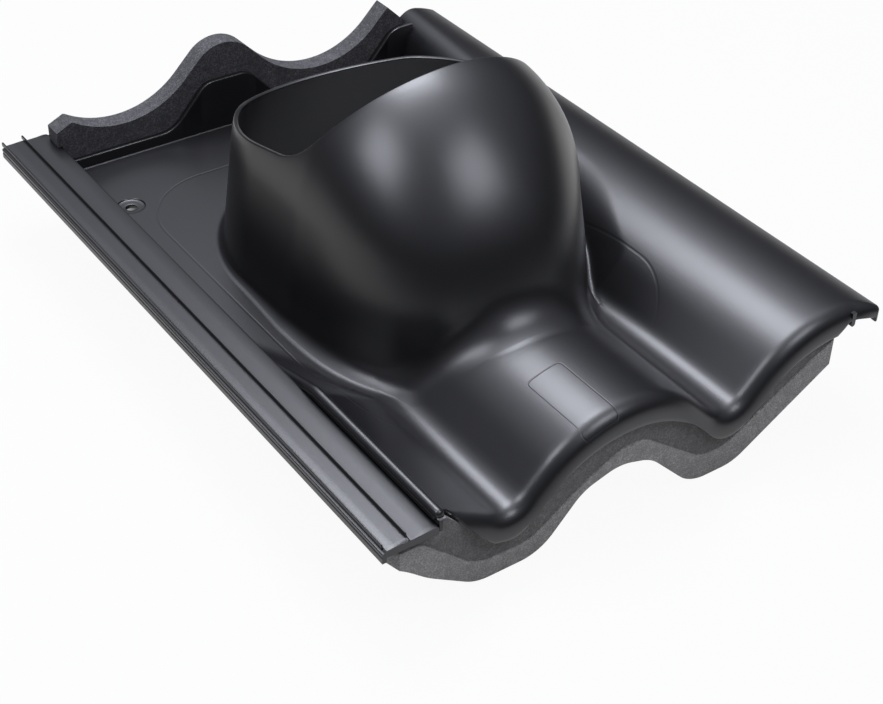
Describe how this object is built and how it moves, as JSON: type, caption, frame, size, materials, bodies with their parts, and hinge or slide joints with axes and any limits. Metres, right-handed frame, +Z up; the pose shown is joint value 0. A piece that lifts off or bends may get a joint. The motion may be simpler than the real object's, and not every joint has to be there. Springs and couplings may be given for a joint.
{
  "type": "roof vent tile",
  "caption": "Moulded double-wave roof tile with a hooded dome that lets a vent pipe through, a raised rear upstand and foam seals front and rear.",
  "frame": {"origin": "bottom centre of the whole part's box, on the surface that the front seal rests on", "axes": "+Y up the roof from the rolled lip to the rear upstand, +X across from the underlock strip to the overlock, +Z up out of the roof"},
  "size_m": [0.336, 0.4536, 0.1892],
  "materials": {
    "moulded_plastic": "satin",
    "rear_foam": "matt foam",
    "front_foam": "matt foam"
  },
  "bodies": {
    "root": {"tile_body": "moulded_plastic", "rear_foam_seal": "rear_foam", "front_foam_seal": "front_foam"}
  },
  "joints": []
}
